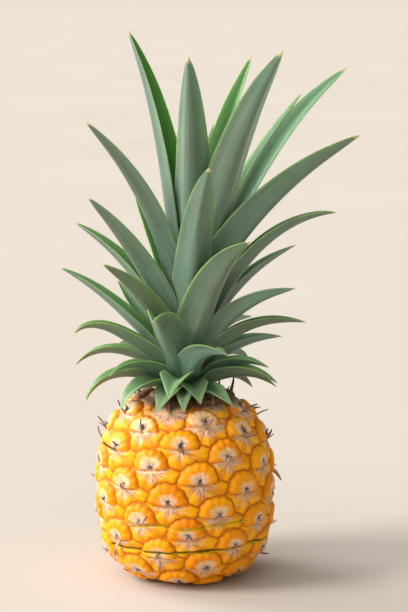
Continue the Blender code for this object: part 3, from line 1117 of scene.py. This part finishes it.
def blade_sections(half_width, s, fold):
    """How far across and how far inward each point of each section lies, in metres."""
    u = np.linspace(-1, 1, BLADE_ACROSS + 1)
    fine = np.linspace(0, 1, SLOPE_STEPS)
    opened = smooth_step(s / BASE_SHARE)[:, None]
    channel = 0.05 + smooth_step(fine / KEEL_SHARE) - 0.25 * smooth_step((fine - 0.4) / 0.6)
    wrapped = np.minimum(half_width[:, None] / STEM_WRAP_RADIUS, MOST_WRAP) * fine * WRAP
    slope = fold[:, None] * channel * opened + wrapped * (1 - opened)
    out = summed(np.cos(slope), np.diff(fine))
    rise = summed(np.sin(slope), np.diff(fine))
    across = np.stack([np.interp(abs(u), fine, row) for row in out]) * np.sign(u)
    inward = np.stack([np.interp(abs(u), fine, row) for row in rise])
    kept = CAD_SPREAD_SHARE / np.abs(across).max(1)[:, None] * half_width[:, None]
    return across * kept, inward * kept


trial_out = blade_sections(np.array([10 * MM]), np.ones(1), np.ones(1))[0]
print("a blade 20 mm wide spreads", round(2 * trial_out.max() / MM, 1), "mm when it is folded")

# %% [markdown]
# ## No two blades alike
# In a crown each leaf has bent its own way as it grew. The packed keels are smooth and regular, so
# every blade gets a little sway by luck, and each one that stands out has a manner of its own,
# written as its differences from a plain blade.

# %% Manners
# middle and tip move it to the right and up, in mm, as seen from the front; twist and fold are in
# degrees; spear makes it taper straight to its tip; tone runs from blue-green at 0 to olive at 1,
# and is left to luck at None; bloom is the pale dusting of its inner face.
PLAIN_MANNER = {
    "middle": (0, 0), "tip": (0, 0), "twist": 0, "fold": 0, "widen": 1.06, "spear": 0,
    "tone": None, "bloom": 0.5,
}
MANNERS = {
    1: {"spear": 1, "widen": 1.5, "fold": -20, "tone": 0.35, "bloom": 1},
    2: {"spear": 1, "widen": 1.7, "fold": -20, "tone": 0.4, "bloom": 1},
    3: {"spear": 1, "widen": 1.7, "fold": -20, "tone": 0.35, "bloom": 1},
    4: {"spear": 1, "widen": 1.3, "fold": -15, "tone": 0.3, "bloom": 0.8},
    5: {"spear": 0.7, "widen": 1.3, "fold": -15, "tone": 0.35, "bloom": 0.8},
    13: {"spear": 1, "widen": 1.35, "fold": -15, "tone": 0.4, "bloom": 0.8},
    16: {"middle": (-3, -1), "twist": -8, "widen": 1.25, "tone": 0.5},
    21: {"tip": (9, 8)},
    22: {"widen": 1.35, "tone": 0.1, "bloom": 1},
    23: {"middle": (-5, 1), "tip": (-3.5, 1), "twist": -4, "widen": 1.5, "tone": 0.6},
    24: {"middle": (0, -1.5), "widen": 1.25, "tone": 0.72},
    26: {"tip": (1, 1), "twist": -26, "widen": 1.15, "tone": 0.6},
    27: {"middle": (-3, -3), "tip": (-4.5, 2)},
    28: {"middle": (0.5, 0), "tip": (-1, 0), "twist": 26, "widen": 1.2, "tone": 0.9},
    29: {"middle": (-6, -2), "tip": (-1.5, 0), "widen": 1.2, "tone": 0.2, "bloom": 0.9},
    30: {"middle": (-3, -2), "tip": (-12, -6)},
    33: {"middle": (1.2, 0), "tip": (-1, 1), "widen": 1.36, "tone": 0.7},
    35: {"tip": (2, -1), "tone": 0.08, "bloom": 0.9},
    36: {"middle": (0.5, -1.5), "tip": (1, 0), "widen": 1.2, "tone": 0.4},
    37: {"middle": (-2.6, -0.5), "tip": (-4.5, 0), "twist": 18, "widen": 1.15, "tone": 0.55},
    40: {"middle": (-1, 0), "tip": (-1.8, -2.3), "twist": -8, "widen": 1.25, "tone": 0.55},
    42: {"middle": (1, 1), "tip": (1, 1.5), "twist": -12, "widen": 1.42, "tone": 0.6},
    43: {"middle": (1, 0), "tip": (0, 2), "twist": 12, "tone": 0.4},
    45: {"middle": (2, -1.5), "tip": (4, 1), "twist": 14, "fold": -12, "widen": 1.0, "tone": 0.1,
         "bloom": 0.62},
    46: {"middle": (3.5, 0), "tip": (1, 1), "twist": -20, "widen": 1.22, "tone": 0.5},
    47: {"middle": (-1.5, 0.5), "twist": 14, "widen": 1.0, "tone": 0.3},
    # 48 and 50 keep little bloom on their inner face, so it shows the vivid green that is partly
    # painted light
    48: {"middle": (-2.3, 0), "tip": (0.7, 3.3), "twist": 6, "widen": 1.42, "tone": 0.4,
         "bloom": 0},
    49: {"middle": (-0.2, 0), "tip": (0.3, 0), "twist": -14, "widen": 1.28, "tone": 0.4},
    50: {"tip": (-1, 0), "tone": 0.45, "bloom": 0.22},
    51: {"middle": (4, 0), "tip": (6, -3)},
    52: {"middle": (-3, 0), "tip": (-3.8, 0), "tone": 0.5},
}
print("blades with a manner of their own:", len(MANNERS))

# %% Bending the keel
SHEATH_DEPTH = 1.2 * MM
SHEATH_LENGTH = 7 * MM  # the part below the packed root, pressed flat to the stem
SWAY = 0.006  # of its length, that a blade leans aside by luck
WAVE_SHARE = 0.4
TWIST = math.radians(3)


def curve_through(points, count):
    """Evenly many points along a smooth curve through the given ones."""
    p = np.array([2 * points[0] - points[1], *points, 2 * points[-1] - points[-2]])
    steps = np.linspace(0, len(points) - 1, count)
    first = np.minimum(steps.astype(int), len(points) - 2)
    t = (steps - first)[:, None]
    a, b, c, d = (p[first + k] for k in range(4))
    square = 2 * a - 5 * b + 4 * c - d
    cube = 3 * b - a - 3 * c + d
    return 0.5 * (2 * b + (c - a) * t + square * t**2 + cube * t**3)


def sheath_foot(keel):
    """The lowest point of a leaf, down the stem from its packed root."""
    axis = np.array([stem_axis(keel[0][2]), 0, keel[0][2]])
    outward = (keel[0] - axis) / np.linalg.norm(keel[0] - axis)
    return keel[0] - outward * SHEATH_DEPTH - np.array([0, 0, SHEATH_LENGTH])


def bend_keel(keel, side, length, s, manner):
    """The keel with a little sway of its own, moved as its manner says."""
    sway = SWAY * length * luck.uniform(-1, 1) * s**2
    wave = SWAY * length * WAVE_SHARE * luck.uniform(-1, 1) * np.sin(2 * math.pi * s)
    keel = keel + (sway + wave)[:, None] * side
    for (right, up), share in ((manner["middle"], np.sin(math.pi * s)), (manner["tip"], s**2)):
        keel = keel + np.outer(share, np.array([right, 0, up]) * MM)
    return keel


def directions_along(keel, side, s, manner):
    """The ways across the blade and inward at each step of its keel, with its twist."""
    along = np.gradient(keel, axis=0)
    along /= np.linalg.norm(along, axis=1)[:, None]
    across = side - (along @ side)[:, None] * along
    across /= np.linalg.norm(across, axis=1)[:, None]
    inward = -np.cross(across, along)
    twist = (math.radians(manner["twist"]) + TWIST * luck.uniform(-1, 1)) * smooth_step(s / 0.6)
    straight, turned = np.cos(twist)[:, None], np.sin(twist)[:, None]
    return across * straight + inward * turned, inward * straight - across * turned


print("a keel is smoothed from", CAD_RINGS + 1, "points to", BLADE_ALONG + 1)

# %% The outer face of a blade
FOLD = math.radians(60)
FOLD_LESS_AT_TIP = math.radians(12)


def blade_points(node, manner):
    """Every point of a blade's outer face, section by section, and its half width at each."""
    keel, side, width = read_leaf(node)
    keel = curve_through(np.array([sheath_foot(keel), *keel]), BLADE_ALONG + 1)
    length = np.linalg.norm(np.diff(keel, axis=0), axis=1).sum()
    s = np.linspace(0, 1, BLADE_ALONG + 1)
    keel = bend_keel(keel, side, length, s, manner)
    across, inward = directions_along(keel, side, s, manner)
    half = 0.5 * width * manner["widen"] * blade_half_width(s, length, manner["spear"])
    fold = FOLD + math.radians(manner["fold"]) - FOLD_LESS_AT_TIP * s
    out, rise = blade_sections(half, s, fold)
    points = keel[:, None, :] + out[:, :, None] * across[:, None, :]
    return points + rise[:, :, None] * inward[:, None, :], half


print("the halves of a blade fold up by", round(math.degrees(FOLD)), "degrees at its root")

# %% Thickness
BLADE_THICKNESS = 1.5 * MM
EDGE_THICKNESS_SHARE = 0.22
EDGE_THINNING = 1.6  # how late, on the way from keel to edge, a blade gets thin
FULL_THICKNESS_HALF_WIDTH = 4 * MM  # a blade narrower than this gets thinner with its width


def thicken(blade, weights):
    """Gives a blade its thickness, with the second material on its inner face."""
    group = blade.vertex_groups.new(name="thick")
    for index, weight in enumerate(weights):
        group.add([index], float(weight), "REPLACE")
    solid = blade.modifiers.new("thickness", "SOLIDIFY")
    solid.thickness = BLADE_THICKNESS
    solid.offset = -1
    solid.vertex_group = group.name
    solid.material_offset = 1
    bpy.ops.object.modifier_apply(modifier=solid.name)


print("a blade is", round(BLADE_THICKNESS / MM, 1), "mm thick at its keel")


# %% One blade
def lay_blade(name, node, finishes):
    """One blade along the keel of a packed leaf, as its own closed mesh."""
    manner = {**PLAIN_MANNER, **MANNERS.get(int(node[-2:]), {})}
    points, half = blade_points(node, manner)
    deselect()
    bpy.ops.mesh.primitive_grid_add(x_subdivisions=BLADE_ACROSS, y_subdivisions=BLADE_ALONG, size=2)
    blade = bpy.context.object
    blade.name = name
    grid = vertex_places(blade)
    column = np.rint((grid[:, 0] + 1) / 2 * BLADE_ACROSS).astype(int)
    row = np.rint((grid[:, 1] + 1) / 2 * BLADE_ALONG).astype(int)
    blade.data.vertices.foreach_set("co", points[row, column].ravel())
    tone = luck.uniform(0.1, 0.75) if manner["tone"] is None else manner["tone"]
    store(blade, "tone", np.full(len(grid), tone))
    store(blade, "bloom", np.full(len(grid), manner["bloom"]))
    for finish in finishes:
        blade.data.materials.append(finish)
    thinned = 1 - (1 - EDGE_THICKNESS_SHARE) * np.abs(grid[:, 0]) ** EDGE_THINNING
    thicken(blade, np.minimum(1, half[row] / FULL_THICKNESS_HALF_WIDTH) * thinned)
    bpy.ops.object.shade_smooth()
    return blade


print("grid of a blade:", BLADE_ACROSS, "by", BLADE_ALONG, "faces")

# %% [markdown]
# ## The finish of a leaf
# The outer face of a pineapple leaf is dusted with pale scales, so it looks silver-green, and the
# bloom lies in fine lengthwise lines. Towards the root both faces have less bloom, a painted shade
# where the leaves crowd round the stem. The inner face has less bloom and shows a deep green,
# partly its own and partly painted light, made vivid as if lit through the blade. The edges are
# thin and yellowish, and the needle tip is dry. A little light passes into the leaf and out again
# beside where it went in, so both finishes scatter some of it under the surface.

# %% The gloss of a blade
LEAF_GLOSS = dict(
    IOR=1.5, Sheen_Roughness=0.4, Sheen_Tint=(0.84, 1.0, 0.88, 1.0), Coat_Roughness=0.38,
    Specular_Tint=(0.86, 0.98, 0.95, 1.0), Subsurface_Weight=0.25, Subsurface_Scale=0.004,
    Subsurface_Radius=(0.6, 1.0, 0.15),
)
OUTSIDE_GLOSS = dict(Specular_IOR_Level=0.6, Sheen_Weight=0.2, Coat_Weight=0.15)
INSIDE_GLOSS = dict(Specular_IOR_Level=0.4, Sheen_Weight=0.05, Coat_Weight=0.0)
print("light spreads about", LEAF_GLOSS["Subsurface_Scale"] / MM, "mm inside a leaf")

# %% Colours along and across a blade
MARGIN = (0.94, 0.99)  # of the way from keel to edge, where the yellowish margin comes in
NEEDLE = (0.968, 0.988)  # of the way from root to tip, where the dry needle comes in


def leaf_colour(made, v, cloud, bloomed, deep, bloom):
    """Deep green under the bloom, olive or blue-green by the blade's tone; painted shade at the
    root.
    """
    tone = made.attribute("tone")
    share = made.times(bloomed, made.between(cloud, 0.1, 0.6, 0.7, 1.0))
    # painted shade: less bloom towards the root, so each blade is darker where the leaves crowd
    # round the stem
    share = made.times(share, made.between(v, 0.0, 0.3, 0.45, 1.0))
    colour = made.mix(share, deep, bloom)
    colour = made.mix(made.between(tone, 0.5, 1.0, 0.0, 0.6), colour, paint(98, 100, 52))
    return made.mix(made.between(tone, 0.0, 0.35, 0.45, 0.0), colour, paint(98, 128, 120))


def leaf_ends(made, u, v, cloud, colour):
    """The yellowish margin and the dry needle tip."""
    edge = made.math("ABSOLUTE", made.line(u, 2.0, -1.0))
    margin = made.times(made.between(edge, *MARGIN), made.between(cloud, 0.35, 0.6, 0.2, 0.75))
    colour = made.mix(margin, colour, paint(150, 178, 62))
    return made.mix(made.between(v, *NEEDLE, 0.0, 0.85), colour, paint(206, 176, 128))


print("the dry needle starts at", NEEDLE[0], "of the blade")


# %% The two finishes of a blade
OUTSIDE_BLOOM_SHARE = 0.32
INSIDE_BLOOM_SHARE = 0.2


def leaf_finish(name, bloom, deep, inside):
    made = Finish(name, **LEAF_GLOSS, **(INSIDE_GLOSS if inside else OUTSIDE_GLOSS))
    u, v = made.place_on("UVMap")
    line_place = made.joined(made.times(u, 46.0), made.times(v, 2.2),
                             made.times(made.attribute("tone"), 60.0))
    lines = made.noise(line_place, 1.0, 2.0)
    cloud = made.noise(made.place(), 60.0, 3.0)
    scurf = made.noise(made.place((1, 1, 0.5)), 1400.0, 2.0, 0.6)
    lined = made.between(lines, 0.3, 0.7)
    if inside:
        bloomed = made.times(made.line(lined, 0.35, INSIDE_BLOOM_SHARE), 0.3)
        bloomed = made.line(made.attribute("bloom"), 0.8, bloomed)
    else:
        bloomed = made.line(lined, 0.35, OUTSIDE_BLOOM_SHARE)
    colour = leaf_colour(made, v, cloud, bloomed, deep, bloom)
    if not inside:
        blush = made.noise(made.place((1, 1, 0.4)), 38.0, 2.0)
        blush = made.times(made.between(blush, 0.42, 0.72, 0.0, 0.32),
                           made.between(v, 0.2, 0.6, 0.3, 1.0))
        colour = made.mix(blush, colour, paint(118, 106, 86))
    colour = leaf_ends(made, u, v, cloud, colour)
    made.set("Base Color", made.mix(made.between(scurf, 0.5, 0.8, 0.0, 0.35), colour, bloom))
    made.set("Roughness", made.line(lines, 0.2, 0.28))
    made.bump(made.line(scurf, 0.3, lines), 0.35, 0.0005)
    return made.material


leaf_finishes = [
    leaf_finish("leaf_outside", paint(126, 154, 140), paint(38, 68, 10), inside=False),
    # the inner face's deep green is partly the leaf's own and partly painted light, made vivid as
    # if lit through the blade
    leaf_finish("leaf_inside", paint(128, 154, 116), paint(54, 112, 8), inside=True),
]
print("leaf finishes:", ", ".join(finish.name for finish in leaf_finishes))

# %% Laying every leaf
for number in range(1, LEAF_COUNT + 1):
    cad_leaf = f"leaf_{number:02d}"
    blade = lay_blade(f"blade_{number:02d}", cad_leaf, leaf_finishes)
    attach(blade, "root")
    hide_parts(cad_leaf)
print("triangles in one blade:", sum(len(p.vertices) - 2 for p in blade.data.polygons))

# %% [markdown]
# ## The two short stems
# Between the lowest leaves a little of the crown's stem shows, brown and fibrous. Underneath, the
# fruit was cut from its stalk: a woody disc, paler in the middle, with a dark dry edge. Both
# packed shapes are right as they are and only need a finish.


# %% Finishes for the two stems
def crown_stem_finish():
    made = Finish("crown_stem_fibre", Roughness=0.8, Specular_IOR_Level=0.2)
    fibres = made.noise(made.place((1, 1, 0.12)), 700.0, 3.0, 0.6)
    patches = made.between(made.noise(made.place(), 120.0, 2.0), 0.4, 0.7)
    colour = made.mix(made.between(fibres, 0.3, 0.7), paint(74, 56, 36), paint(140, 120, 78))
    made.set("Base Color", made.mix(patches, colour, paint(96, 104, 58)))
    made.bump(fibres, 0.6, 0.0005)
    return made.material


def cut_stalk_finish():
    made = Finish("cut_stalk_wood", Roughness=0.85, Specular_IOR_Level=0.2)
    place = made.place()
    squares = [made.math("POWER", side, 2.0) for side in made.parts(place)[:2]]
    across = made.math("SQRT", made.plus(*squares))
    pores = made.noise(place, 1600.0, 2.0, 0.6)
    uneven = made.line(made.noise(place, 300.0, 2.0), 0.004, across)
    colour = made.mix(made.between(pores, 0.35, 0.65), paint(176, 144, 96), paint(212, 184, 134))
    rim = made.between(uneven, 0.008, 0.0125)
    made.set("Base Color", made.mix(rim, colour, paint(104, 74, 44)))
    made.bump(pores, 0.6, 0.0003)
    return made.material


for node, finish in (("crown_stem", crown_stem_finish()), ("cut_stalk", cut_stalk_finish())):
    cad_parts[node].data.materials.clear()
    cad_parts[node].data.materials.append(finish)
    print(node, "is finished in", finish.name)

# %% [markdown]
# ## Leaving
